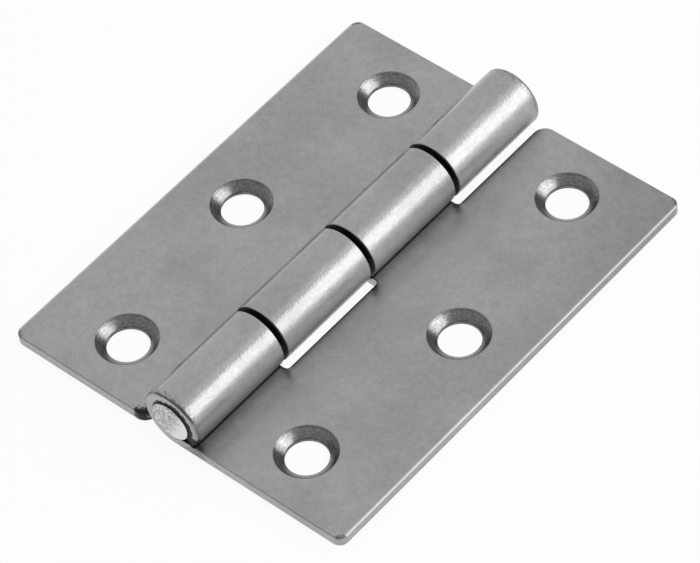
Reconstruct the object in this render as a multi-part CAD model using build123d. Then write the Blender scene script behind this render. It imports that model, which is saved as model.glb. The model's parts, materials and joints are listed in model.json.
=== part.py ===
from build123d import *
from math import asin, degrees, radians, tan
import os

# Butt hinge, laid open flat with its knuckles and countersinks up.
# X runs across the leaves, Y along the pin and Z up from the leaves' mounting faces.
# Each leaf is one notched sheet whose tongues are rolled round the pin; all sizes are millimetres.

# Leaves
LEAF_LENGTH = 76.0  # along the pin
LEAF_REACH = 31.0  # pin axis to a leaf's outer edge
SHEET_THICKNESS = 1.8
CORNER_RADIUS = 1.5  # outer corners of a leaf
INNER_CORNER_RADIUS = 2.0  # leaf corner beside the other leaf's end knuckle
EDGE_ROUND = 0.35  # rounding of the sheet's edges

# Knuckles
KNUCKLE_COUNT = 4  # both leaves together, taken in turn
KNUCKLE_GAP = 0.9  # between neighbouring knuckles
NOTCH_CLEARANCE = 0.25  # from a knuckle to the other leaf's notch edge
NOTCH_RADIUS = 0.6  # inner corners of the notches
SEAM_GAP = 0.2  # between a roll's end and the top of its own leaf

# Pin
PIN_RADIUS = 3.0
PIN_CLEARANCE = 0.15  # radial play in the knuckles
PIN_FLARE = 0.25  # how much the peened ends widen, more than the play so that they hold
PIN_PROUD = 0.2  # how far each peened end stands out past the leaves
PIN_RIM_ROUND = 0.1

# Screw holes, the same in both leaves
HOLE_RADIUS = 3.2
COUNTERSINK_RADIUS = 4.7
COUNTERSINK_ANGLE = 100.0  # included angle, in degrees
END_HOLE_REACH = 17.0  # pin axis to the two end holes
MIDDLE_HOLE_REACH = 20.7  # the middle hole is set further out
END_HOLE_SPACING = 58.0

# Sizes that follow
BORE_RADIUS = PIN_RADIUS + PIN_CLEARANCE
KNUCKLE_RADIUS = BORE_RADIUS + SHEET_THICKNESS
NOTCH_EDGE = KNUCKLE_RADIUS + NOTCH_CLEARANCE
KNUCKLE_PITCH = LEAF_LENGTH / KNUCKLE_COUNT
LEAF_END = LEAF_LENGTH / 2
PIN_AXIS = Axis((0, 0, KNUCKLE_RADIUS), (0, 1, 0))
# The roll goes on past three quarters of a turn until its outer corner is a seam gap above the leaf.
ROLL_ANGLE = 270 + degrees(asin((BORE_RADIUS - SEAM_GAP) / KNUCKLE_RADIUS))
COUNTERSINK_DEPTH = (COUNTERSINK_RADIUS - HOLE_RADIUS) / tan(radians(COUNTERSINK_ANGLE / 2))
HOLE_OVERRUN = SHEET_THICKNESS  # how far a hole's cutter stands past both faces
SAME_PLACE = 0.001


def knuckle_span(index):
    """Near and far end of one knuckle; the row's two outer ends are flush with the leaves."""
    near = index * KNUCKLE_PITCH - LEAF_END
    far = near + KNUCKLE_PITCH
    if index > 0:
        near += KNUCKLE_GAP / 2
    if index < KNUCKLE_COUNT - 1:
        far -= KNUCKLE_GAP / 2
    return near, far


def at_x(shapes, x):
    """The vertices or faces that lie at one distance from the pin axis."""
    return shapes.filter_by_position(Axis.X, x - SAME_PLACE, x + SAME_PLACE)


def leaf_outline(knuckles):
    """Flat blank of a leaf on the +X side: a plate with one tongue for each knuckle."""
    plate_width = LEAF_REACH - NOTCH_EDGE
    outline = Pos(NOTCH_EDGE + plate_width / 2, 0) * Rectangle(plate_width, LEAF_LENGTH)
    for index in knuckles:
        near, far = knuckle_span(index)
        outline += Pos(LEAF_REACH / 2, (near + far) / 2) * Rectangle(LEAF_REACH, far - near)
    outline = fillet(at_x(outline.vertices(), LEAF_REACH), CORNER_RADIUS)
    notches = at_x(outline.vertices(), NOTCH_EDGE)
    notch_corners = [v for v in notches if abs(v.Y) < LEAF_END - SAME_PLACE]
    outline = fillet(notch_corners, NOTCH_RADIUS)
    free_corners = [v for v in at_x(outline.vertices(), NOTCH_EDGE) if abs(v.Y) > LEAF_END - SAME_PLACE]
    if free_corners:
        outline = fillet(free_corners, INNER_CORNER_RADIUS)
    return outline


def rounded_sheet(outline):
    """The blank at sheet thickness with its edges rounded, tongue ends left square for the roll."""
    sheet = extrude(outline, SHEET_THICKNESS)
    flats = sheet.faces().filter_by(Axis.Z)
    edges = [e for f in flats for e in f.edges() if e.center().X > SAME_PLACE]
    return fillet(edges, EDGE_ROUND)


def countersunk_hole():
    """Cutter for one screw hole: a straight land at the mounting face, then a cone to the top."""
    land = SHEET_THICKNESS - COUNTERSINK_DEPTH
    top = SHEET_THICKNESS + HOLE_OVERRUN
    profile = Polyline(
        (0, 0, -HOLE_OVERRUN),
        (HOLE_RADIUS, 0, -HOLE_OVERRUN),
        (HOLE_RADIUS, 0, land),
        (COUNTERSINK_RADIUS, 0, SHEET_THICKNESS),
        (COUNTERSINK_RADIUS, 0, top),
        (0, 0, top),
        close=True,
    )
    return revolve(make_face(profile), axis=Axis.Z)


def leaf(knuckles):
    """One leaf on the +X side, its tongues rolled over the pin and its screw holes countersunk."""
    body = rounded_sheet(leaf_outline(knuckles))
    for tongue_end in at_x(body.faces(), 0):
        body += revolve(tongue_end, axis=PIN_AXIS, revolution_arc=ROLL_ANGLE)
    cutter = countersunk_hole()
    half_spacing = END_HOLE_SPACING / 2
    places = [(END_HOLE_REACH, -half_spacing), (MIDDLE_HOLE_REACH, 0), (END_HOLE_REACH, half_spacing)]
    for x, y in places:
        body -= Pos(x, y, 0) * cutter
    return body


def hinge_pin():
    """Round pin, its ends peened into the rounded mouths of the end knuckles."""
    head_radius = PIN_RADIUS + PIN_FLARE
    mouth = LEAF_END - EDGE_ROUND
    face = LEAF_END + PIN_PROUD
    half = Polyline(
        (0, 0),
        (PIN_RADIUS, 0),
        (PIN_RADIUS, mouth),
        (head_radius, LEAF_END),
        (head_radius, face),
        (0, face),
        close=True,
    )
    turned = revolve(make_face(half), axis=Axis.Y)
    rim = turned.edges().filter_by(GeomType.CIRCLE).group_by(Axis.Y)[-1]
    turned = fillet(rim, PIN_RIM_ROUND)
    return Pos(0, 0, KNUCKLE_RADIUS) * (turned + mirror(turned, about=Plane.XZ))


right_leaf = leaf(range(0, KNUCKLE_COUNT, 2))
left_leaf = mirror(leaf(range(1, KNUCKLE_COUNT, 2)), about=Plane.YZ)
nodes = {"left_leaf": left_leaf, "right_leaf": right_leaf, "hinge_pin": hinge_pin()}

os.makedirs("parts", exist_ok=True)
for name, shape in nodes.items():
    export_step(shape, f"parts/{name}.step")
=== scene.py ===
import json
import math
from types import SimpleNamespace

import bmesh
import bpy
from bpy.props import FloatProperty, FloatVectorProperty, IntProperty, PointerProperty
from mathutils import Matrix, Vector, noise


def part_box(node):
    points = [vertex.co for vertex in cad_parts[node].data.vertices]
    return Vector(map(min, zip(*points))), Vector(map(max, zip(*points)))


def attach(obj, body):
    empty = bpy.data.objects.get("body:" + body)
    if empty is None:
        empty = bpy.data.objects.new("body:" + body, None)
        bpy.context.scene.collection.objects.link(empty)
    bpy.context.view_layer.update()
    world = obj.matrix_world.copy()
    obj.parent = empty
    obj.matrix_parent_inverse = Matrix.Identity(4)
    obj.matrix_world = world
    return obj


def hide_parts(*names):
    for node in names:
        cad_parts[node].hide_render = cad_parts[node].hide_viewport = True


bl_info = {
    "name": "Butt Hinge",
    "version": (1, 0, 0),
    "blender": (4, 5, 0),
    "location": "3D View > Sidebar > Hinge",
    "description": "Rolled sheet steel butt hinge with countersunk holes and a peened pin",
    "category": "Add Mesh",
}

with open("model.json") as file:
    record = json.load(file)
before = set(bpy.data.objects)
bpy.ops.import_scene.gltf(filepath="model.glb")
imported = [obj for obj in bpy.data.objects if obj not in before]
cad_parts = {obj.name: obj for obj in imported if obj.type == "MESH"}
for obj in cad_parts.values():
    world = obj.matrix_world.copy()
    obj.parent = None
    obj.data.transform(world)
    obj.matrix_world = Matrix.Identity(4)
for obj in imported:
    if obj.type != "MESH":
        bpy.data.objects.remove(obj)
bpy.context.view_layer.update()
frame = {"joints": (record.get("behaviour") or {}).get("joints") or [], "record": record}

# Meshes are shaped in millimetres, because the operators lose very small shapes, and end in metres.
MILLIMETRE = 0.001
SAME_PLACE = 0.0001

# What the frame gives, in millimetres: the pin's height, the leaves' reach and where the screws go.
MOUNTS = {mount["name"]: mount for mount in frame["record"]["mounts"]}
PIN_HEIGHT = frame["joints"][0]["pos_m"][2] / MILLIMETRE
LEAF_REACH, LEAF_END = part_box("right_leaf")[1].xy / MILLIMETRE
PIN_HEAD_RADIUS, PIN_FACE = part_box("hinge_pin")[1].xy / MILLIMETRE
KNUCKLE_RADIUS = PIN_HEIGHT
HOLE_RADIUS = MOUNTS["right_end_screws"]["dims"]["hole_r_mm"]
HALF_SPACING = MOUNTS["right_end_screws"]["dims"]["spacing_y_mm"] / 2
END_HOLE_REACH = MOUNTS["right_end_screws"]["pos_m"][0] / MILLIMETRE
MIDDLE_HOLE_REACH = MOUNTS["right_middle_screw"]["pos_m"][0] / MILLIMETRE
HOLES = (
    Vector((END_HOLE_REACH, -HALF_SPACING)),
    Vector((MIDDLE_HOLE_REACH, 0)),
    Vector((END_HOLE_REACH, HALF_SPACING)),
)

# Directions across the leaves and along the pin
ACROSS = Vector((1, 0, 0))
ALONG = Vector((0, 1, 0))

# Across the pin's ends, towards the side that the last hammer blows left smooth
LAST_BLOW = Vector((0.852, 0, -0.523))

# Angles between faces: up to the first they are one flat, past the second they meet in a cut edge,
# and up to the third they are shaded as one surface.
FLAT_ANGLE = math.radians(1)
CUT_ANGLE = math.radians(20)
SMOOTH_ANGLE = math.radians(35)

# Fineness of the meshes
CORNER_SEGMENTS = 10
NOTCH_SEGMENTS = 6
EDGE_SEGMENTS = 5
BREAK_SEGMENTS = 2
PIN_RIM_SEGMENTS = 4
HOLE_SEGMENTS = 96
ROLL_STEPS = 110
PIN_STEPS = 128
PIN_FACE_CUTS = 40

# The square that is taken out for a hole reaches this many countersink radii to each side.
PATCH_REACH = 1.25

# Hammer marks: a second, finer set, their steepness, and how the depth falls off towards the last blows
FINE_MARK_SHARE = 0.5
FINE_MARK_PITCH = 2.3
MARK_GAIN = 2
SHALLOWEST_MARK = 0.12
MIDDLE_MARK = 0.6

# Dark marks on a leaf that lies on the +X side, in millimetres: the middles of two spots of painted shade,
# and how far in from the corner beside the other leaf's end knuckle a darker third spot lies
MOUTH_SHADE_MIDDLE = Vector((0.5, 0, PIN_HEIGHT + 0.35))
SEAM_END = Vector((4.0, -LEAF_END, 2.9))
CORNER_INSET = Vector((1.0, -0.2, 0))

# Towards the corner where a leaf is made darker, and the sides of the countersinks that get painted shade
DARKER_CORNER = Vector((1.0, 0.5, 0.0))
SHADED_SIDES = (Vector((0, -1, 0)), Vector((0.8, -0.6, 0)))

# Scale of the rolls' streaks, which run along the pin, and turned rings to a millimetre of a countersink
STREAKS = (1, 0.4, 1)
RINGS = 5.0

# Which ways count in a distance: in plan, round the pin's axis, or all
IN_PLAN = (1, 1, 0)
ROUND_PIN = (1, 0, 1)
ALL_WAYS = (1, 1, 1)

# Between these two, a noise texture spends most of its range.
NOISE_LOW = 0.3
NOISE_HIGH = 0.7

# The flat sheet's relief in metres, the rolls' and the rings' against it, and the spread of its roughness
RELIEF_HEIGHT = 0.00002
ROLL_RELIEF = 5.0
RING_RELIEF = 0.5
ROUGHNESS_SPREAD = 0.05

# The photograph's width in pixels, the camera's sensor in millimetres and the floor's reach in metres
IMAGE_WIDTH = 700
SENSOR_WIDTH = 36
FLOOR_REACH = 2.0


def length(name, description, default):
    """A size in metres that a user may change."""
    return FloatProperty(name=name, description=description, default=default, unit="LENGTH", precision=5)


def angle(name, description, degrees):
    """An angle that a user may change."""
    return FloatProperty(name=name, description=description, default=math.radians(degrees), subtype="ANGLE")


def colour(name, description, default):
    """A linear colour that a user may change."""
    return FloatVectorProperty(name=name, description=description, default=default, subtype="COLOR", size=3)


def share(name, description, default):
    """A plain number from nothing to all of something."""
    return FloatProperty(name=name, description=description, default=default, min=0, max=1, subtype="FACTOR")


class HingeSizes(bpy.types.PropertyGroup):
    """Sizes of the leaves, their knuckles and the pin."""

    thickness: length("Sheet Thickness", "Gauge of the leaves' sheet", 0.0018)
    corner_radius: length("Corner Radius", "Rounding of a leaf's outer corners", 0.0015)
    inner_corner_radius: length("Inner Corner Radius", "Corner beside the other leaf's end knuckle", 0.002)
    notch_radius: length("Notch Radius", "Inner corners of the notches", 0.0006)
    notch_clearance: length("Notch Clearance", "From a knuckle to the other leaf's notch", 0.00025)
    edge_round: length("Edge Round", "Rounding of the sheet's edges", 0.0002)
    roll_end_round: length("Roll End Round", "Rounding of the outer rims at the row's two ends", 0.0006)
    edge_break: length("Edge Break", "Small rounding of the holes' edges and the rolls' cut ends", 0.00007)
    knuckle_count: IntProperty(name="Knuckles", description="Knuckles of both leaves", default=4, min=2)
    knuckle_gap: length("Knuckle Gap", "Between neighbouring knuckles", 0.0009)
    seam_gap: length("Seam Gap", "Between a roll's end and its own leaf", 0.0002)
    countersink_radius: length("Countersink Radius", "Mouth of a countersink", 0.0047)
    countersink_angle: angle("Countersink Angle", "Included angle of a countersink", 100)
    pin_radius: length("Pin Radius", "Shank of the pin", 0.003)
    pin_rim_round: length("Pin Rim Round", "Rounding of the peened rim", 0.0001)
    dent_depth: length("Dent Depth", "Depth of the hammer marks on the pin's ends", 0.00006)
    dent_size: length("Dent Size", "Spacing of the hammer marks", 0.0006)


class HingeFinish(bpy.types.PropertyGroup):
    """Colours and gloss of the steel."""

    leaf_colour: colour("Leaf", "Self-coloured sheet steel", (0.385, 0.385, 0.385))
    smudge_colour: colour("Smudge", "Handled and oily patches of the sheet", (0.325, 0.325, 0.325))
    pin_colour: colour("Pin", "Bright drawn steel of the pin", (0.72, 0.72, 0.72))
    # Near-black of the grease and painted shade in the gaps, the bores and on the pin's shank
    grime_colour: colour("Grime", "Dark grease in the gaps", (0.032, 0.032, 0.032))
    leaf_roughness: share("Leaf Roughness", "Roughness of the flat sheet", 0.36)
    knuckle_roughness: share("Knuckle Roughness", "Roughness of the knuckles' tops", 0.19)
    turned_roughness: share("Turned Roughness", "Roughness of the countersinks", 0.28)
    pin_roughness: share("Pin Roughness", "Roughness of the pin's hammered ends", 0.32)
    grime_roughness: share("Grime Roughness", "Roughness of the grease", 0.6)


class HingeWearAndShade(bpy.types.PropertyGroup):
    """Grease, wear, darker places, and painted light and shade."""

    # Painted shade round the pin's ends and where a seam comes out
    mouth_grease: length("Mouth Grease", "How far grease spreads past the bore at the row's ends", 0.0005)
    seam_grease: length("Seam Grease", "Radius of the grease where a seam comes out", 0.0013)
    # Painted shade along the notches' edges, beside the other leaf's knuckles
    notch_reach: length("Notch Reach", "How far dirt spreads from a notch's edge", 0.00045)
    notch_line: length("Notch Line", "Width of the darkest dirt along a notch's edge", 0.00015)
    notch_shade: share("Notch Dirt", "How dark that dirt is", 0.92)
    # A darker spot on the corner beside the other leaf's end knuckle
    corner_spot: length("Corner Spot", "Radius of the dirt beside the other leaf's end knuckle", 0.00135)
    corner_darkening: share("Corner Dirt", "How dark that dirt is", 0.93)
    corner_wear: share("Corner Wear", "How much darker the top rims of the outer corners are", 0.6)
    # Painted shade and wear on the rounded rims at the row's two ends
    roll_end_band: length("Roll End Band", "Width of the dirt on the rims at the row's two ends", 0.00075)
    roll_end_dirt: share("Roll End Dirt", "How dark that dirt is", 0.38)
    # Painted shade on a knuckle's flank above its own leaf
    flank_dirt: share("Flank Dirt", "How much darker a knuckle is above its own leaf", 0.6)
    # Painted shade on the holes' straight walls and the countersinks' near sides; the lips are made darker
    land_dirt: share("Land Dirt", "Dirt on the straight wall of the holes", 0.6)
    lip_dirt: share("Lip Dirt", "Dirt along the countersinks' lips", 0.25)
    countersink_dirt: share("Countersink Dirt", "Dirt on the near side of the countersinks", 0.75)
    # Painted shade in the hammer marks on the pin's ends; the struck side is darker between them too
    mark_dirt: share("Mark Dirt", "Dirt in the hammer marks on the pin's ends", 0.5)
    pin_stain: share("Pin Stain", "Dirt between the hammer marks", 0.1)
    # The right leaf is made darker towards its far corner
    handling: share("Handling", "How much darker the right leaf is towards its far corner", 0.2)
    # Painted light beside the rolls
    seam_shine: share("Seam Shine", "How much brighter the sheet is rubbed beside its own rolls", 0.65)
    # Painted highlight along the outer edge
    edge_highlight: share("Edge Shine", "How much brighter a leaf's outer edge is rubbed", 0.45)


class HingeStage(bpy.types.PropertyGroup):
    """Camera, floor and light."""

    azimuth: angle("Azimuth", "Camera's turn round the hinge", 46.6007)
    elevation: angle("Elevation", "Camera's height above the floor", 49.8061)
    roll: angle("Roll", "Camera's turn about its own line of sight", -7.9225)
    distance: length("Distance", "From the camera to the hinge", 0.6354)
    aside: length("Aside", "Camera's shift to its own right", -0.0001011)
    above: length("Above", "Camera's shift to its own top", -0.000885)
    focal_pixels: FloatProperty(name="Focal Length", description="In image pixels", default=4404.1)
    floor_colour: colour("Floor", "Pale floor and backdrop", (1.0, 1.0, 1.0))
    floor_cover: share("Floor Cover", "How much of the floor's shading shows over the backdrop", 0.08)
    bright_side: FloatVectorProperty(
        name="Bright Side",
        description="Where the room is brightest",
        default=(-0.45, 0.5, 0.74),
        subtype="DIRECTION",
    )
    bright_level: share("Bright Level", "Light from the bright side of the room", 0.86)
    dim_level: share("Dim Level", "Light from the rest of the room", 0.32)
    table_level: share("Table Level", "Light that the white table gives back", 0.9)
    bright_edge: share("Bright Edge", "Where the bright side starts, as the cosine to its middle", 0.5)
    bright_core: share("Bright Core", "Where it is at full strength", 0.7)
    window_azimuth: angle("Window Azimuth", "The window's turn from the hinge's right", 35)
    window_width: length("Window Width", "Width of the window's soft light", 0.5)
    window_distance: length("Window Distance", "From the window to the hinge", 0.5)
    sweep_low: angle("Sweep Low", "Height of the lower edge of the white sweep under the window", 2)
    window_low: angle("Window Low", "Height of the window's lower edge", 14)
    window_high: angle("Window High", "Height of the window's upper edge", 49)
    glow_high: angle("Glow High", "Height of the upper edge of the dimmer light above the window", 64)
    sweep_level: FloatProperty(name="Sweep Level", description="Radiance of the sweep", default=1.1)
    window_level: FloatProperty(name="Window Level", description="Radiance of the window", default=2.2)
    glow_level: FloatProperty(name="Glow Level", description="Radiance above the window", default=0.4)


PROPERTY_GROUPS = {
    "hinge_sizes": HingeSizes,
    "hinge_finish": HingeFinish,
    "hinge_wear": HingeWearAndShade,
    "hinge_stage": HingeStage,
}


def in_millimetres(group):
    """A property group's values as plain numbers, its lengths in millimetres."""
    fields = group.bl_rna.properties
    values = {name: getattr(group, name) for name in type(group).__annotations__}
    lengths = {name: value / MILLIMETRE for name, value in values.items() if fields[name].unit == "LENGTH"}
    return SimpleNamespace(**{**values, **lengths})


def notch_edge(sizes):
    """Distance from the pin axis to a notch's edge."""
    return KNUCKLE_RADIUS + sizes.notch_clearance


def knuckle_pitch(sizes):
    """Distance along the pin from one knuckle to the next."""
    return 2 * LEAF_END / sizes.knuckle_count


def knuckle_span(sizes, index):
    """Near and far end of one knuckle along the pin."""
    pitch = knuckle_pitch(sizes)
    near = index * pitch - LEAF_END
    far = near + pitch
    if index > 0:
        near += sizes.knuckle_gap / 2
    if index < sizes.knuckle_count - 1:
        far -= sizes.knuckle_gap / 2
    return near, far


def countersink_depth(sizes):
    """How far a countersink goes down from the top of the sheet."""
    return (sizes.countersink_radius - HOLE_RADIUS) / math.tan(sizes.countersink_angle / 2)


def cut(bm, faces, place, normal):
    """Cut some faces along a plane and keep both sides."""
    edges = {edge for face in faces for edge in face.edges}
    verts = {vert for face in faces for vert in face.verts}
    geometry = [*faces, *edges, *verts]
    bmesh.ops.bisect_plane(bm, geom=geometry, plane_co=place, plane_no=normal, dist=SAME_PLACE)


def only(kind, geometry):
    """The elements of one kind, such as edges, in what an operator returns."""
    return [element for element in geometry if isinstance(element, kind)]


def round_off(bm, geometry, radius, segments, affect="EDGES"):
    """Round some edges, or the corners of an outline where affect is VERTICES."""
    bmesh.ops.bevel(
        bm,
        geom=geometry,
        offset=radius,
        offset_type="OFFSET",
        segments=segments,
        profile=0.5,
        affect=affect,
        clamp_overlap=False,
        material=-1,
    )


def cut_blank(bm, sizes, spans):
    """Flat outline of a leaf on the +X side: a plate with a tongue for each knuckle."""
    notch = notch_edge(sizes)
    plate = Matrix.Translation((LEAF_REACH / 2, 0, 0)) @ Matrix.Diagonal((LEAF_REACH, 2 * LEAF_END, 1, 1))
    # Half a unit to each side is a unit square, which the matrix stretches to the plate.
    bmesh.ops.create_grid(bm, x_segments=1, y_segments=1, size=0.5, matrix=plate)
    cut(bm, bm.faces[:], notch * ACROSS, ACROSS)
    for side in [side for span in spans for side in span if abs(side) < LEAF_END - SAME_PLACE]:
        cut(bm, bm.faces[:], side * ALONG, ALONG)

    def in_notch(face):
        middle = face.calc_center_median()
        return middle.x < notch and not any(near < middle.y < far for near, far in spans)

    notches = [face for face in bm.faces if in_notch(face)]
    bmesh.ops.delete(bm, geom=notches, context="FACES")
    bmesh.ops.dissolve_limit(bm, angle_limit=FLAT_ANGLE, verts=bm.verts[:], edges=bm.edges[:])
    outer, free, inner = [], [], []
    for vert in bm.verts:
        if vert.co.x > LEAF_REACH - SAME_PLACE:
            outer.append(vert)
        elif vert.co.x > SAME_PLACE:
            (free if abs(vert.co.y) > LEAF_END - SAME_PLACE else inner).append(vert)
    round_off(bm, outer, sizes.corner_radius, CORNER_SEGMENTS, "VERTICES")
    round_off(bm, free, sizes.inner_corner_radius, CORNER_SEGMENTS, "VERTICES")
    round_off(bm, inner, sizes.notch_radius, NOTCH_SEGMENTS, "VERTICES")


def pierce(bm, sizes, centre):
    """Open one screw hole in the blank, with a ring where its countersink will be pressed."""
    half = PATCH_REACH * sizes.countersink_radius

    def level_with_hole(axis):
        return [face for face in bm.faces if abs(face.calc_center_median()[axis] - centre[axis]) < half]

    for side in (-half, half):
        cut(bm, bm.faces[:], (centre.y + side) * ALONG, ALONG)
    for side in (-half, half):
        cut(bm, level_with_hole(1), (centre.x + side) * ACROSS, ACROSS)
    band = set(level_with_hole(1))
    patch = [face for face in level_with_hole(0) if face in band]
    sides = list({edge for face in patch for edge in face.edges})
    bmesh.ops.delete(bm, geom=patch, context="FACES_ONLY")
    divided = bmesh.ops.subdivide_edges(bm, edges=sides, cuts=HOLE_SEGMENTS // 4 - 1)
    square = set(only(bmesh.types.BMEdge, [*divided["geom_inner"], *divided["geom_split"]]))
    place = Matrix.Translation((centre.x, centre.y, 0))
    radius = sizes.countersink_radius
    circle = bmesh.ops.create_circle(bm, segments=HOLE_SEGMENTS, radius=radius, matrix=place)["verts"]
    mouth = list({edge for vert in circle for edge in vert.link_edges})
    # Two loops in one plane come out crossed, so the circle is lifted while it is joined.
    bmesh.ops.translate(bm, verts=circle, vec=(0, 0, half))
    bmesh.ops.bridge_loops(bm, edges=[*square, *mouth])
    bmesh.ops.translate(bm, verts=circle, vec=(0, 0, -half))
    ring = bmesh.ops.extrude_edge_only(bm, edges=mouth)["geom"]
    shrink = HOLE_RADIUS / radius
    hole = only(bmesh.types.BMVert, ring)
    bmesh.ops.scale(bm, verts=hole, vec=(shrink, shrink, 1), space=place.inverted())


def to_nearest_hole(place):
    """The distance from a place on the sheet to the nearest screw hole's axis."""
    return min((place.xy - centre).length for centre in HOLES)


def thicken(bm, sizes):
    """Give the flat blank the sheet's thickness and press its countersinks."""
    raised = bmesh.ops.extrude_face_region(bm, geom=bm.faces[:], use_keep_orig=True)["geom"]
    top = only(bmesh.types.BMVert, raised)
    bmesh.ops.translate(bm, verts=top, vec=(0, 0, sizes.thickness))
    pressed = [vert for vert in top if to_nearest_hole(vert.co) < HOLE_RADIUS + SAME_PLACE]
    bmesh.ops.translate(bm, verts=pressed, vec=(0, 0, -countersink_depth(sizes)))
    bmesh.ops.recalc_face_normals(bm, faces=bm.faces[:])


def soften_edges(bm, sizes):
    """Round the sheet's cut edges, and leave a small break on the holes' edges."""
    rim, hole_edges = [], []
    for edge in bm.edges:
        start, end = (vert.co for vert in edge.verts)
        at_tongue_end = max(start.x, end.x) < SAME_PLACE
        upright = abs(start.z - end.z) > SAME_PLACE
        if at_tongue_end or upright or edge.calc_face_angle(0) < CUT_ANGLE:
            continue
        in_hole = to_nearest_hole((start + end) / 2) < sizes.countersink_radius + SAME_PLACE
        (hole_edges if in_hole else rim).append(edge)
    round_off(bm, rim, sizes.edge_round, EDGE_SEGMENTS)
    round_off(bm, hole_edges, sizes.edge_break, BREAK_SEGMENTS)


def roll_tongues(bm, sizes):
    """Roll the tongues over the pin until each end is a seam gap above its own leaf."""
    bore = KNUCKLE_RADIUS - sizes.thickness
    past_three_quarters = math.asin((bore - sizes.seam_gap) / KNUCKLE_RADIUS)
    ends = [face for face in bm.faces if all(abs(vert.co.x) < SAME_PLACE for vert in face.verts)]
    edges = {edge for face in ends for edge in face.edges}
    verts = {vert for face in ends for vert in face.verts}
    rolled = bmesh.ops.spin(
        bm,
        geom=[*ends, *edges, *verts],
        cent=(0, 0, PIN_HEIGHT),
        axis=ALONG,
        angle=math.radians(270) + past_three_quarters,
        steps=ROLL_STEPS,
        use_merge=False,
    )["geom_last"]
    lips = [edge for edge in only(bmesh.types.BMEdge, rolled) if edge.calc_face_angle(0) > CUT_ANGLE]
    round_off(bm, lips, sizes.edge_break, BREAK_SEGMENTS)


def round_roll_ends(bm, sizes):
    """Widen the rounding of the outer rims where the knuckle row ends, more and more along the roll."""
    axis = Vector((0, PIN_HEIGHT))
    for vert in bm.verts:
        offset = vert.co.xz - axis
        past_end = abs(vert.co.y) - LEAF_END
        past_rim = offset.length - KNUCKLE_RADIUS
        on_plate = vert.co.x > SAME_PLACE and vert.co.z < sizes.thickness + SAME_PLACE
        if on_plate or min(past_end, past_rim) < -sizes.edge_round - SAME_PLACE:
            continue
        leaving_plate = vert.co.x < SAME_PLACE and offset.y < 0
        rolled = min(1, max(0, -vert.co.x / KNUCKLE_RADIUS)) if leaving_plate else 1
        widen = 1 + rolled * (sizes.roll_end_round / sizes.edge_round - 1)
        vert.co.y = math.copysign(LEAF_END + past_end * widen, vert.co.y)
        vert.co.xz = axis + offset.normalized() * (KNUCKLE_RADIUS + past_rim * widen)


def leaf_mesh(sizes):
    """One leaf on the +X side, cut, pierced, rounded and rolled from flat sheet."""
    bm = bmesh.new()
    spans = [knuckle_span(sizes, index) for index in range(0, sizes.knuckle_count, 2)]
    cut_blank(bm, sizes, spans)
    for centre in HOLES:
        pierce(bm, sizes, centre)
    thicken(bm, sizes)
    soften_edges(bm, sizes)
    roll_tongues(bm, sizes)
    round_roll_ends(bm, sizes)
    return bm


def peen(bm, sizes):
    """Hammer both ends of the pin: small dents all over, shallow on the side that was struck last."""
    for vert in bm.verts:
        if abs(vert.co.y) < PIN_FACE - SAME_PLACE:
            continue
        spot = vert.co / sizes.dent_size
        marks = max(0, noise.noise(spot)) + FINE_MARK_SHARE * max(0, noise.noise(spot * FINE_MARK_PITCH))
        depth = min(1, max(SHALLOWEST_MARK, MIDDLE_MARK - vert.co.dot(LAST_BLOW)))
        vert.co.y -= math.copysign(sizes.dent_depth * depth * min(1, MARK_GAIN * marks), vert.co.y)


def pin_mesh(sizes):
    """Round pin lying along Y, its ends peened into the end knuckles' mouths."""
    bm = bmesh.new()
    corners = [
        (0, PIN_FACE),
        (PIN_HEAD_RADIUS, PIN_FACE),
        (PIN_HEAD_RADIUS, LEAF_END),
        (sizes.pin_radius, LEAF_END - sizes.edge_round),
        (sizes.pin_radius, 0),
    ]
    verts = [bm.verts.new((radius, along, 0)) for radius, along in corners]
    for start, end in zip(verts, verts[1:]):
        bm.edges.new((start, end))
    round_off(bm, [verts[1]], sizes.pin_rim_round, PIN_RIM_SEGMENTS, "VERTICES")
    face_edges = [edge for edge in bm.edges if all(abs(v.co.y - PIN_FACE) < SAME_PLACE for v in edge.verts)]
    bmesh.ops.subdivide_edges(bm, edges=face_edges, cuts=PIN_FACE_CUTS)
    bmesh.ops.spin(
        bm,
        geom=[*bm.verts, *bm.edges],
        cent=(0, 0, 0),
        axis=ALONG,
        angle=math.tau,
        steps=PIN_STEPS,
        use_merge=True,
    )
    bmesh.ops.remove_doubles(bm, verts=bm.verts[:], dist=SAME_PLACE)
    bmesh.ops.mirror(bm, geom=[*bm.verts, *bm.edges, *bm.faces], axis="Y", merge_dist=SAME_PLACE)
    bmesh.ops.recalc_face_normals(bm, faces=bm.faces[:])
    peen(bm, sizes)
    bmesh.ops.translate(bm, verts=bm.verts[:], vec=(0, 0, PIN_HEIGHT))
    return bm


def finish_piece(bm, name, node, body, material):
    """Make an object of a finished mesh and let it stand for its CAD node."""
    mesh = bpy.data.meshes.new(name)
    bmesh.ops.scale(bm, verts=bm.verts[:], vec=(MILLIMETRE, MILLIMETRE, MILLIMETRE))
    bm.to_mesh(mesh)
    bm.free()
    mesh.shade_smooth()
    mesh.set_sharp_from_angle(angle=SMOOTH_ANGLE)
    piece = bpy.data.objects.new(name, mesh)
    bpy.context.scene.collection.objects.link(piece)
    mesh.materials.append(material)
    normals = piece.modifiers.new("Face Weighted Normals", "WEIGHTED_NORMAL")
    normals.keep_sharp = True
    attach(piece, body)
    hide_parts(node)


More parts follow.
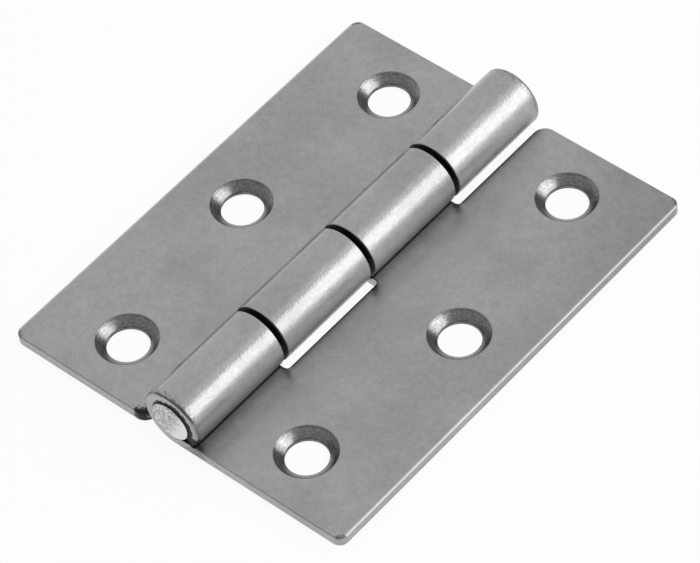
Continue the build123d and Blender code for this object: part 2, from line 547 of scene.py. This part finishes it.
class NodeDesk:
    """A node tree, with short calls to add and join its nodes."""

    def __init__(self, tree):
        self.tree = tree
        tree.nodes.clear()

    def add(self, kind, settings=None, **inputs):
        """Add a node; inputs are values or other nodes' sockets, by the socket's name."""
        node = self.tree.nodes.new(kind)
        for key, value in (settings or {}).items():
            setattr(node, key, value)
        for key, value in inputs.items():
            self.set(node.inputs[key.replace("_", " ")], value)
        return node

    def set(self, socket, value):
        """Give a socket a value, or join it to another node's socket."""
        if isinstance(value, bpy.types.NodeSocket):
            self.tree.links.new(value, socket)
        else:
            socket.default_value = value

    def mix(self, factor, first, second):
        """A colour that goes from the first to the second."""
        node = self.add("ShaderNodeMix", {"data_type": "RGBA"})
        sockets = {socket.identifier: socket for socket in node.inputs}
        for identifier, value in (("Factor_Float", factor), ("A_Color", first), ("B_Color", second)):
            self.set(sockets[identifier], value)
        return next(socket for socket in node.outputs if socket.identifier == "Result_Color")

    def mix_shaders(self, factor, first, second):
        """A shader that goes from the first to the second."""
        node = self.add("ShaderNodeMixShader", Fac=factor)
        self.set(node.inputs[1], first)
        self.set(node.inputs[2], second)
        return node.outputs["Shader"]

    def blend(self, factor, first, second):
        """A number that goes from the first to the second."""
        node = self.add("ShaderNodeMix", {"data_type": "FLOAT"}, Factor=factor, A=first, B=second)
        return node.outputs["Result"]

    def math(self, operation, first, second=0.0):
        """One operation on two numbers."""
        node = self.add("ShaderNodeMath", {"operation": operation})
        self.set(node.inputs[0], first)
        self.set(node.inputs[1], second)
        return node.outputs["Value"]

    def chain(self, operation, first, *others):
        """One operation over several numbers, from the first to the last."""
        for other in others:
            first = self.math(operation, first, other)
        return first

    def product(self, *values):
        return self.chain("MULTIPLY", *values)

    def largest(self, *values):
        return self.chain("MAXIMUM", *values)

    def rest(self, part):
        """What a share leaves of the whole."""
        return self.math("SUBTRACT", 1.0, part)

    def vector(self, operation, first, second=(0, 0, 0), output="Vector"):
        """One operation on two vectors."""
        node = self.add("ShaderNodeVectorMath", {"operation": operation})
        self.set(node.inputs[0], first)
        self.set(node.inputs[1], second)
        return node.outputs[output]

    def shade(self, tint, amount):
        """A colour made lighter or darker by a number."""
        node = self.add("ShaderNodeVectorMath", {"operation": "SCALE"}, Vector=tint, Scale=amount)
        return node.outputs["Vector"]

    def ramp(self, value, start, end, low=0.0, high=1.0):
        """A smooth change from low to high while the value goes from start to end."""
        node = self.add(
            "ShaderNodeMapRange",
            {"interpolation_type": "SMOOTHSTEP"},
            Value=value,
            From_Min=start,
            From_Max=end,
            To_Min=low,
            To_Max=high,
        )
        return node.outputs["Result"]

    def below(self, value, edge, soft, full=1.0):
        """Full where a value is below an edge, with a soft width to each side of it."""
        return self.ramp(value, edge + soft, edge - soft, 0.0, full)

    def above(self, value, edge, soft, full=1.0):
        """Full where a value is above an edge, with a soft width to each side of it."""
        return self.ramp(value, edge - soft, edge + soft, 0.0, full)

    def fade(self, distance, reach, depth):
        """A share that starts at a depth and dies away with distance."""
        return self.math("MULTIPLY", self.math("EXPONENT", self.math("DIVIDE", distance, -reach)), depth)

    def noise(self, place, size, detail=3.0, roughness=0.55):
        """Soft spots of about one size."""
        settings = {"Scale": 1 / size, "Detail": detail, "Roughness": roughness}
        return self.add("ShaderNodeTexNoise", Vector=place, **settings).outputs["Fac"]

    def spread(self, spots, low, high):
        """Stretch a noise so that it wanders from low to high."""
        return self.ramp(spots, NOISE_LOW, NOISE_HIGH, low, high)

    def spots(self, place, size, low, high, detail=3.0):
        """A number that wanders from low to high in soft spots of about one size."""
        return self.spread(self.noise(place, size, detail), low, high)

    def wander(self, distance, place, size, reach):
        """A distance that goes up and down by a reach, so that what it bounds is ragged."""
        return self.math("ADD", distance, self.spots(place, size, -reach, reach))

    def millimetres(self, turn=0.0):
        """The place on the piece in millimetres, turned about Z to suit the leaf on the other side."""
        place = self.add("ShaderNodeTexCoord").outputs["Object"]
        scale = (1 / MILLIMETRE,) * 3
        node = self.add("ShaderNodeMapping", Vector=place, Rotation=(0, 0, turn), Scale=scale)
        return node.outputs["Vector"]

    def distance(self, place, centre, ways):
        """Distance to a centre, counting only some ways."""
        offset = self.vector("MULTIPLY", self.vector("SUBTRACT", place, centre), ways)
        return self.vector("LENGTH", offset, output="Value")


def rgba(shade):
    """A colour with the alpha that a colour socket needs."""
    return (*shade, 1.0)


def new_material(name):
    """An empty node material and the desk to build it on."""
    material = bpy.data.materials.new(name)
    material.use_nodes = True
    return material, NodeDesk(material.node_tree)


def bare_metal(desk, tint, roughness, relief, strength):
    """Close a material as bare metal with a fine relief."""
    bump = desk.add("ShaderNodeBump", Height=relief, Strength=strength, Distance=RELIEF_HEIGHT)
    shader = desk.add(
        "ShaderNodeBsdfPrincipled",
        Metallic=1.0,
        Base_Color=tint,
        Roughness=roughness,
        Normal=bump.outputs["Normal"],
    )
    desk.add("ShaderNodeOutputMaterial", Surface=shader.outputs["BSDF"])


# The edges and soft widths of the masks from here on are in millimetres.
def leaf_places(desk, sizes, turn):
    """Where a point of a leaf is, in millimetres from what lies round it, and the surfaces it is on."""
    place = desk.millimetres(turn)
    axes = desk.add("ShaderNodeSeparateXYZ", Vector=place).outputs
    across, along, height = axes["X"], axes["Y"], axes["Z"]
    pitch = knuckle_pitch(sizes)
    corner = (LEAF_REACH - sizes.corner_radius, LEAF_END - sizes.corner_radius, 0)
    past_corner = desk.vector("SUBTRACT", desk.vector("ABSOLUTE", place), corner)
    past_axes = desk.add("ShaderNodeSeparateXYZ", Vector=past_corner).outputs
    outwards = desk.distance(desk.vector("MAXIMUM", past_corner), (0, 0, 0), IN_PLAN)
    from_pin = desk.distance(place, (0, 0, PIN_HEIGHT), ROUND_PIN)
    to_holes = [desk.distance(place, (*centre, 0), IN_PLAN) for centre in HOLES]
    land = sizes.thickness - countersink_depth(sizes)
    return SimpleNamespace(
        place=place,
        across=across,
        height=height,
        from_pin=from_pin,
        to_holes=to_holes,
        to_hole=desk.chain("MINIMUM", *to_holes),
        to_gap=desk.math("PINGPONG", along, pitch / 2),
        to_notch=desk.math("PINGPONG", desk.math("ADD", along, pitch / 2), pitch),
        to_end=desk.math("SUBTRACT", LEAF_END, desk.math("ABSOLUTE", along)),
        from_rim=desk.math("SUBTRACT", sizes.corner_radius, outwards),
        into_corner=desk.math("MINIMUM", past_axes["X"], past_axes["Y"]),
        on_roll=desk.below(from_pin, edge=KNUCKLE_RADIUS + 0.275, soft=0.175),
        on_top=desk.above(height, edge=sizes.thickness - 0.2, soft=0.2),
        above_land=desk.above(height, edge=land - 0.175, soft=0.125),
    )


def in_cone(desk, sizes, at, to_hole):
    """On the cone of a countersink, by the distance to its hole's axis."""
    return desk.product(desk.below(to_hole, edge=sizes.countersink_radius, soft=0.04), at.above_land)


def grease_and_shade_mask(desk, wear, sizes, at):
    """Near-black grease and painted shade between knuckles and in the bores, and painted shade round the
    pin's ends and at the seam's end.
    """
    bore = KNUCKLE_RADIUS - sizes.thickness
    at_end = desk.below(at.to_end, edge=0.95, soft=0.25)
    gap = desk.below(at.to_gap, edge=sizes.knuckle_gap / 2 + 0.025, soft=0.075)
    gap = desk.product(gap, at.on_roll, desk.rest(at_end))
    # Painted shade round the pin's ends
    from_mouth = desk.distance(at.place, MOUTH_SHADE_MIDDLE, ROUND_PIN)
    from_mouth = desk.wander(from_mouth, at.place, size=0.6, reach=0.2)
    mouth = desk.product(desk.below(from_mouth, edge=bore + wear.mouth_grease, soft=0.15), at_end)
    # Painted shade where the seam comes out
    from_seam = desk.distance(at.place, SEAM_END, ALL_WAYS)
    from_seam = desk.wander(from_seam, at.place, size=0.6, reach=0.2)
    seam = desk.product(desk.below(from_seam, edge=wear.seam_grease, soft=0.3), at.on_roll)
    inside = desk.below(at.from_pin, edge=bore + 0.2, soft=0.1)
    return desk.largest(gap, mouth, seam, inside)


def notch_shade(desk, wear, sizes, at):
    """Painted shade along the edges of the notches, beside the other leaf's knuckles, darkest in a thin line.
    """
    past_line = desk.math("SUBTRACT", at.across, notch_edge(sizes) + wear.notch_line)
    fading = desk.fade(desk.math("MAXIMUM", past_line, 0.0), wear.notch_reach, wear.notch_shade)
    in_notch = desk.below(at.to_notch, edge=knuckle_pitch(sizes) / 2, soft=0.4)
    return desk.product(fading, in_notch, desk.rest(at.on_roll))


def corner_darkening(desk, wear, sizes, at, depth):
    """A darker spot on the corner beside the other leaf's end knuckle."""
    middle = Vector((notch_edge(sizes), LEAF_END, 0)) + CORNER_INSET
    to_middle = desk.wander(desk.distance(at.place, middle, IN_PLAN), at.place, size=0.5, reach=0.5)
    return desk.below(to_middle, edge=wear.corner_spot, soft=0.45, full=depth)


def corner_wear(desk, wear, sizes, at):
    """Dark wear on the top rims of the outer corners."""
    into_corner = desk.wander(at.into_corner, at.place, size=0.5, reach=0.3)
    return desk.product(
        desk.above(into_corner, edge=0.4, soft=0.3),
        desk.below(at.from_rim, edge=0.5, soft=0.2, full=wear.corner_wear),
        desk.above(at.height, edge=sizes.thickness - 0.35, soft=0.15),
    )


def roll_end_and_flank_shade(desk, wear, at):
    """Painted shade and wear on the rims at the row's two ends, and painted shade on the flanks of the rolls
    above their own leaf.
    """
    ragged_end = desk.wander(at.to_end, at.place, size=0.45, reach=0.5)
    # Painted shade and wear on the rounded rims
    rim = desk.product(
        desk.below(ragged_end, edge=wear.roll_end_band, soft=0.35, full=wear.roll_end_dirt),
        desk.above(at.from_pin, edge=KNUCKLE_RADIUS - 0.225, soft=0.125),
        at.on_roll,
    )
    # Painted shade on the flank above the roll's own leaf
    flank = desk.product(
        desk.below(at.height, edge=PIN_HEIGHT - 0.35, soft=1.25, full=wear.flank_dirt),
        desk.above(at.across, edge=2.5, soft=1.0),
        desk.above(at.to_end, edge=0.175, soft=0.125),
        at.on_top,
        at.on_roll,
    )
    return desk.largest(rim, flank)


def hole_shade(desk, wear, sizes, at, turn):
    """Painted shade in the holes, on the straight wall and the near side of the countersink, and a darker
    line along the lip.
    """
    wall = desk.below(at.to_hole, edge=HOLE_RADIUS + 0.06, soft=0.04, full=wear.land_dirt)
    from_lip = desk.math("ABSOLUTE", desk.math("SUBTRACT", at.to_hole, sizes.countersink_radius))
    lip = desk.product(desk.below(from_lip, edge=0.09, soft=0.07, full=wear.lip_dirt), at.above_land)
    # Painted shade on the near side of each countersink, where it mirrors the shaded floor under the hole
    cones = []
    for centre, to_hole in zip(HOLES, at.to_holes):
        offset = desk.vector("SUBTRACT", at.place, (*centre, 0))
        sides = [desk.vector("DOT_PRODUCT", offset, side * math.cos(turn), "Value") for side in SHADED_SIDES]
        near_side = desk.above(desk.largest(*sides), edge=1.6, soft=1.2, full=wear.countersink_dirt)
        cones.append(desk.product(near_side, in_cone(desk, sizes, at, to_hole)))
    return desk.largest(wall, lip, *cones)


def plate_shade(desk, wear, sizes, at, fine, coarse, handling):
    """Light and dark of the flat sheet: speckled, darker towards its far corner, and with painted light
    beside its own rolls.
    """
    speckle = desk.product(
        desk.spread(fine, low=0.94, high=1.06),
        desk.spread(coarse, low=0.94, high=1.06),
        desk.spots(at.place, size=2.6, low=0.97, high=1.03),
    )
    # Darker towards the far corner
    to_far_corner = desk.vector("DOT_PRODUCT", at.place, DARKER_CORNER, "Value")
    far_corner_darker = desk.above(to_far_corner, edge=35.0, soft=9.0, full=handling)
    # Painted light that brightens the sheet beside its own rolls
    rubbed = desk.product(
        desk.below(at.across, edge=6.3, soft=1.3, full=wear.seam_shine),
        desk.above(at.to_notch, edge=knuckle_pitch(sizes) / 2 + 1.0, soft=2.0),
        at.on_top,
    )
    return desk.product(speckle, desk.rest(far_corner_darker), desk.math("ADD", rubbed, 1.0))


def roll_shade(desk, at):
    """Light and dark of the rolled knuckles: fine streaks along the pin."""
    drawn = desk.vector("MULTIPLY", at.place, STREAKS)
    return desk.product(
        desk.spots(drawn, size=0.4, low=0.95, high=1.05),
        desk.spots(at.place, size=1.4, low=0.96, high=1.04),
    )


def turned_rings(desk, at):
    """Uneven rings round the holes."""
    ring_place = desk.wander(desk.math("MULTIPLY", at.to_hole, RINGS), at.place, size=1.2, reach=0.5)
    rings = desk.add("ShaderNodeTexNoise", {"noise_dimensions": "1D"}, W=ring_place, Scale=1.0, Detail=3.0)
    return rings.outputs["Fac"]


def edge_highlight(desk, wear, sizes, at):
    """Painted highlight along the top of a leaf's outer edge."""
    outer_height = desk.product(desk.above(at.across, edge=LEAF_REACH - 1.0, soft=0.5), at.height)
    return desk.product(
        desk.below(at.from_rim, edge=0.325, soft=0.125),
        desk.above(outer_height, edge=sizes.thickness - 0.375, soft=0.125),
        wear.edge_highlight,
    )


def sheet_steel(name, finish, wear, sizes, turn, handling, corner_depth):
    """Self-coloured steel of one leaf: satin plate, rubbed knuckles, turned countersinks, grease and wear,
    with painted light and shade.
    """
    material, desk = new_material(name)
    at = leaf_places(desk, sizes, turn)
    cone = in_cone(desk, sizes, at, at.to_hole)
    fine = desk.noise(at.place, size=0.31)
    coarse = desk.noise(at.place, size=1.1, detail=5.0)
    rings = turned_rings(desk, at)

    smudges = desk.spots(at.place, size=18.0, low=-0.4, high=0.7, detail=4.0)
    tint = desk.mix(smudges, rgba(finish.leaf_colour), rgba(finish.smudge_colour))
    plate = plate_shade(desk, wear, sizes, at, fine, coarse, handling)
    turned = desk.product(
        desk.spread(rings, low=0.7, high=1.15),
        desk.spots(at.place, size=0.35, low=0.75, high=1.2),
    )
    shade = desk.blend(cone, desk.blend(at.on_roll, plate, roll_shade(desk, at)), turned)
    # Painted highlight along the top of the outer edges
    shade = desk.math("ADD", shade, edge_highlight(desk, wear, sizes, at))
    # Painted shade, corner wear and a darker corner spot, taken together
    dirt = desk.largest(
        notch_shade(desk, wear, sizes, at),
        corner_darkening(desk, wear, sizes, at, corner_depth),
        corner_wear(desk, wear, sizes, at),
        roll_end_and_flank_shade(desk, wear, at),
        hole_shade(desk, wear, sizes, at, turn),
    )
    # Near-black grease and painted shade in the gaps and crevices
    grease = grease_and_shade_mask(desk, wear, sizes, at)
    darkened = desk.shade(tint, desk.product(shade, desk.rest(dirt)))
    steel = desk.mix(grease, darkened, rgba(finish.grime_colour))

    smoothest = finish.leaf_roughness - ROUGHNESS_SPREAD
    roughness = desk.spread(coarse, smoothest, finish.leaf_roughness + ROUGHNESS_SPREAD)
    crown = desk.above(at.height, edge=PIN_HEIGHT + 2.0, soft=1.0)
    roll_roughness = desk.blend(crown, finish.leaf_roughness, finish.knuckle_roughness)
    roughness = desk.blend(at.on_roll, roughness, roll_roughness)
    roughness = desk.blend(cone, roughness, finish.turned_roughness)
    roughness = desk.blend(grease, roughness, finish.grime_roughness)
    relief = desk.product(fine, desk.blend(at.on_roll, 1.0, ROLL_RELIEF))
    relief = desk.blend(cone, relief, desk.product(rings, RING_RELIEF))
    bare_metal(desk, steel, roughness, relief, strength=0.25)
    return material


def pin_steel(finish, wear):
    """Drawn steel: bright ends with painted shade in the hammer marks, near-black with grease and painted
    shade along the shank.
    """
    material, desk = new_material("pin_steel")
    place = desk.millimetres()
    along = desk.add("ShaderNodeSeparateXYZ", Vector=place).outputs["Y"]
    on_end = desk.above(desk.math("ABSOLUTE", along), edge=PIN_FACE - 0.085, soft=0.035)
    from_axis = desk.vector("SUBTRACT", place, (0, 0, PIN_HEIGHT))
    struck = desk.below(desk.vector("DOT_PRODUCT", from_axis, LAST_BLOW, "Value"), edge=1.1, soft=0.9)
    # Painted shade in the dents of the hammer marks
    marks = desk.below(desk.noise(place, size=0.3, detail=2.0), edge=0.5, soft=0.08, full=wear.mark_dirt)
    struck_darkening = desk.product(struck, desk.math("ADD", marks, wear.pin_stain))
    grain = desk.noise(place, size=0.28, detail=4.0, roughness=0.65)
    clean = desk.math("SUBTRACT", desk.spread(grain, low=0.9, high=1.08), struck_darkening)
    bright = desk.shade(tuple(finish.pin_colour), clean)
    # The shank is near-black with grease and painted shade
    steel = desk.mix(on_end, rgba(finish.grime_colour), bright)
    roughness = desk.blend(on_end, finish.grime_roughness, finish.pin_roughness)
    bare_metal(desk, steel, roughness, grain, strength=0.3)
    return material


class HINGE_OT_leaves(bpy.types.Operator):
    """Make both leaves with their rolled knuckles and countersunk holes"""

    bl_idname = "hinge.leaves"
    bl_label = "Leaves"

    def execute(self, context):
        sizes = in_millimetres(context.scene.hinge_sizes)
        wear = in_millimetres(context.scene.hinge_wear)
        finish = context.scene.hinge_finish
        for node, body, turn, handling, corner_depth in (
            ("right_leaf", "swing_side", 0.0, wear.handling, 0.0),
            ("left_leaf", "fixed_side", math.pi, 0.0, wear.corner_darkening),
        ):
            bm = leaf_mesh(sizes)
            bmesh.ops.rotate(bm, verts=bm.verts[:], cent=(0, 0, 0), matrix=Matrix.Rotation(turn, 3, "Z"))
            steel = sheet_steel(f"{node}_steel", finish, wear, sizes, turn, handling, corner_depth)
            finish_piece(bm, f"{node}_sheet", node, body, steel)
        return {"FINISHED"}


class HINGE_OT_pin(bpy.types.Operator):
    """Make the pin with its peened ends"""

    bl_idname = "hinge.pin"
    bl_label = "Pin"

    def execute(self, context):
        steel = pin_steel(context.scene.hinge_finish, context.scene.hinge_wear)
        bm = pin_mesh(in_millimetres(context.scene.hinge_sizes))
        finish_piece(bm, "peened_pin", "hinge_pin", "swing_side", steel)
        return {"FINISHED"}


def set_camera(stage):
    """Place the camera at the photograph's viewing angle."""
    azimuth, elevation = stage.azimuth, stage.elevation
    flat = math.cos(elevation)
    back = Vector((math.sin(azimuth) * flat, -math.cos(azimuth) * flat, math.sin(elevation)))
    right = Vector((math.cos(azimuth), math.sin(azimuth), 0))
    up = back.cross(right)
    spot = back * stage.distance + right * stage.aside + up * stage.above
    turned = Matrix.Rotation(stage.roll, 3, back)
    camera_data = bpy.data.cameras.new("Camera")
    camera_data.sensor_width = SENSOR_WIDTH
    camera_data.lens = stage.focal_pixels / IMAGE_WIDTH * SENSOR_WIDTH
    camera = bpy.data.objects.new("Camera", camera_data)
    axes = Matrix((turned @ right, turned @ up, back)).transposed()
    camera.matrix_world = Matrix.Translation(spot) @ axes.to_4x4()
    bpy.context.scene.collection.objects.link(camera)
    bpy.context.scene.camera = camera


def add_window(name, stage, low, high, level):
    """A rectangular lamp between two heights, looking at the middle of the hinge."""
    height = (low + high) / 2
    flat = math.cos(height)
    azimuth = stage.window_azimuth
    towards = Vector((math.cos(azimuth) * flat, math.sin(azimuth) * flat, math.sin(height)))
    lamp_data = bpy.data.lights.new(name, "AREA")
    lamp_data.shape = "RECTANGLE"
    lamp_data.size = stage.window_width
    lamp_data.size_y = 2 * stage.window_distance * math.tan((high - low) / 2)
    # A lamp of this kind shines with its power over pi and its area.
    lamp_data.energy = level * math.pi * lamp_data.size * lamp_data.size_y
    lamp = bpy.data.objects.new(name, lamp_data)
    lamp.location = towards * stage.window_distance
    lamp.rotation_mode = "QUATERNION"
    lamp.rotation_quaternion = towards.to_track_quat("Z", "Y")
    lamp.visible_camera = False
    bpy.context.scene.collection.objects.link(lamp)


def set_world(stage):
    """White surroundings as the camera sees them: a white table below and a room above it."""
    world = bpy.data.worlds.new("Surroundings")
    bpy.context.scene.world = world
    world.use_nodes = True
    desk = NodeDesk(world.node_tree)
    way = desk.add("ShaderNodeTexCoord").outputs["Generated"]
    facing = desk.vector("DOT_PRODUCT", way, Vector(stage.bright_side).normalized(), "Value")
    room = desk.ramp(facing, stage.bright_edge, stage.bright_core, stage.dim_level, stage.bright_level)
    height = desk.add("ShaderNodeSeparateXYZ", Vector=way).outputs["Z"]
    table = desk.below(height, edge=0.0, soft=0.02)
    path = desk.add("ShaderNodeLightPath").outputs
    mirrored = desk.product(path["Is Glossy Ray"], table)
    white = desk.largest(path["Is Camera Ray"], path["Is Transmission Ray"], mirrored)
    light = desk.blend(table, room, stage.table_level)
    lit = desk.add("ShaderNodeBackground", Color=rgba(stage.floor_colour), Strength=light)
    seen = desk.add("ShaderNodeBackground", Color=rgba(stage.floor_colour), Strength=1.0)
    surroundings = desk.mix_shaders(white, lit.outputs["Background"], seen.outputs["Background"])
    desk.add("ShaderNodeOutputWorld", Surface=surroundings)


def lay_floor(stage):
    """A pale floor that shows the backdrop through it and keeps the hinge's shadow."""
    bm = bmesh.new()
    bmesh.ops.create_grid(bm, x_segments=1, y_segments=1, size=FLOOR_REACH)
    mesh = bpy.data.meshes.new("floor")
    bm.to_mesh(mesh)
    bm.free()
    floor = bpy.data.objects.new("floor", mesh)
    bpy.context.scene.collection.objects.link(floor)
    material, desk = new_material("pale_floor")
    clear = desk.add("ShaderNodeBsdfTransparent").outputs["BSDF"]
    cover = desk.add("ShaderNodeBsdfDiffuse", Color=rgba(stage.floor_colour)).outputs["BSDF"]
    desk.add("ShaderNodeOutputMaterial", Surface=desk.mix_shaders(stage.floor_cover, clear, cover))
    mesh.materials.append(material)


class HINGE_OT_stage(bpy.types.Operator):
    """Set the camera, the floor and the light"""

    bl_idname = "hinge.stage"
    bl_label = "Stage"

    def execute(self, context):
        stage = context.scene.hinge_stage
        context.scene.view_settings.view_transform = "Standard"
        set_camera(stage)
        set_world(stage)
        lay_floor(stage)
        add_window("sweep", stage, stage.sweep_low, stage.window_low, stage.sweep_level)
        add_window("window", stage, stage.window_low, stage.window_high, stage.window_level)
        add_window("glow", stage, stage.window_high, stage.glow_high, stage.glow_level)
        return {"FINISHED"}


class HINGE_PT_panel(bpy.types.Panel):
    """Lists the hinge's operators and settings"""

    bl_idname = "HINGE_PT_panel"
    bl_label = "Butt Hinge"
    bl_space_type = "VIEW_3D"
    bl_region_type = "UI"
    bl_category = "Hinge"

    def draw(self, context):
        for operator in OPERATORS:
            self.layout.operator(operator.bl_idname)
        for name, group in PROPERTY_GROUPS.items():
            box = self.layout.box()
            for field in group.__annotations__:
                box.prop(getattr(context.scene, name), field)


OPERATORS = (HINGE_OT_leaves, HINGE_OT_pin, HINGE_OT_stage)
CLASSES = (*PROPERTY_GROUPS.values(), *OPERATORS, HINGE_PT_panel)


def register():
    for cls in CLASSES:
        bpy.utils.register_class(cls)
    for name, group in PROPERTY_GROUPS.items():
        setattr(bpy.types.Scene, name, PointerProperty(type=group))


def unregister():
    for name in PROPERTY_GROUPS:
        delattr(bpy.types.Scene, name)
    for cls in reversed(CLASSES):
        bpy.utils.unregister_class(cls)


def main():
    register()
    bpy.ops.hinge.leaves()
    bpy.ops.hinge.pin()
    bpy.ops.hinge.stage()


if __name__ == "__main__":
    main()
